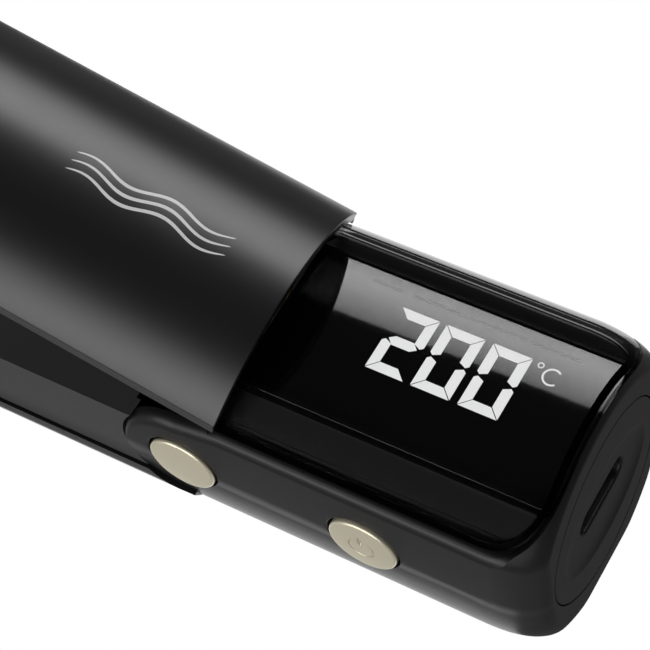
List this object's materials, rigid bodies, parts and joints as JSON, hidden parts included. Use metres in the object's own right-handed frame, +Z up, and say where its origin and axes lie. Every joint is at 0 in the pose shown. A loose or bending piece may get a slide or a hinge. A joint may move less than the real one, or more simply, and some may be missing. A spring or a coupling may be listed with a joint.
{
  "type": "cordless hair styler",
  "caption": "Cordless hair styler with a sprung hinged upper arm, facing heated plates, a digital display under a smoked dome and a charging port.",
  "frame": {"origin": "middle of the length, on the flat underside that it rests on, at mid width", "axes": "+X along the handle to the display and charging end, +Y across it along the hinge pin to the side away from the power button, +Z up from the resting face to the display"},
  "size_m": [0.245, 0.0308, 0.0832],
  "materials": {
    "housing_black": "fine matte black",
    "arm_skin_black": "satin soft-touch black",
    "arm_body_black": "fine matte black",
    "smoked_dome": "polished clear smoke",
    "bezel_black": "gloss black",
    "screen_glass": "polished black glass",
    "lit_segments": "lit white diffuser",
    "champagne_gold": "turned and anodised",
    "steel": "bright",
    "plate_coating": "ceramic coated, semi-gloss",
    "ceramic": "fired ceramic",
    "silicone": "matte",
    "circuit_board": "solder mask",
    "chip_black": "moulded epoxy",
    "cell_wrap": "shrink wrap",
    "cradle_foam": "foam",
    "bush_brass": "turned",
    "lead_red": "insulation"
  },
  "bodies": {
    "handle": {"rear_housing": "housing_black", "display_lens": "smoked_dome", "display_bezel": "bezel_black", "display_glass": "screen_glass", "display_module": "lit_segments", "charge_end_cap": "housing_black", "control_board": "circuit_board", "board_screw_1": "steel", "board_screw_2": "steel", "board_screw_3": "steel", "board_screw_4": "steel", "capacitor": "cell_wrap", "power_transistor": "chip_black", "battery_connector": "ceramic", "button_board": "circuit_board", "power_switch": "steel", "charge_board": "circuit_board", "charge_port": "steel", "port_tongue": "chip_black", "hinge_pin": "steel", "hinge_cap_near": "champagne_gold", "hinge_cap_far": "champagne_gold", "return_spring": "steel", "lower_arm_shell": "arm_skin_black", "lower_arm_body": "arm_body_black", "lower_tip_cap": "housing_black", "arm_screw_1": "steel", "arm_screw_2": "steel", "battery_cell": "cell_wrap", "battery_saddle_1": "cradle_foam", "battery_saddle_2": "cradle_foam", "lower_heater_lead": "lead_red", "lower_cushion_1": "silicone", "lower_cushion_2": "silicone"},
    "upper_arm": {"upper_arm_shell": "arm_skin_black", "upper_arm_body": "arm_body_black", "upper_tip_cap": "housing_black", "hinge_bush_near": "bush_brass", "hinge_bush_far": "bush_brass", "upper_heater_lead": "lead_red", "upper_cushion_1": "silicone", "upper_cushion_2": "silicone"},
    "power_button": {"power_button": "champagne_gold"},
    "lower_plate": {"lower_plate": "plate_coating", "lower_heater": "ceramic", "lower_thermistor": "chip_black"},
    "upper_plate": {"upper_plate": "plate_coating", "upper_heater": "ceramic", "upper_thermistor": "chip_black"}
  },
  "joints": [
    {"name": "arm_hinge", "type": "hinge", "parent": "handle", "child": "upper_arm", "pos_m": [0.0795, 0, 0.0155], "axis": [0, 1, 0], "range_deg": [-14, 0], "stiffness_Nm_per_rad": 0.8, "springref_deg": 20.05},
    {"name": "power_button_press", "type": "slide", "parent": "handle", "child": "power_button", "axis": [0, 1, 0], "range_m": [0, 0.0004], "stiffness_N_per_m": 900, "springref_m": -0.0012},
    {"name": "lower_plate_float", "type": "slide", "parent": "handle", "child": "lower_plate", "axis": [0, 0, -1], "range_m": [0, 0.0008], "stiffness_N_per_m": 2000, "springref_m": -0.001, "deforming": ["lower_cushion_1", "lower_cushion_2"]},
    {"name": "upper_plate_float", "type": "slide", "parent": "upper_arm", "child": "upper_plate", "axis": [0.2419, 0, 0.9703], "range_m": [0, 0.0008], "stiffness_N_per_m": 2000, "springref_m": -0.001, "deforming": ["upper_cushion_1", "upper_cushion_2"]}
  ]
}
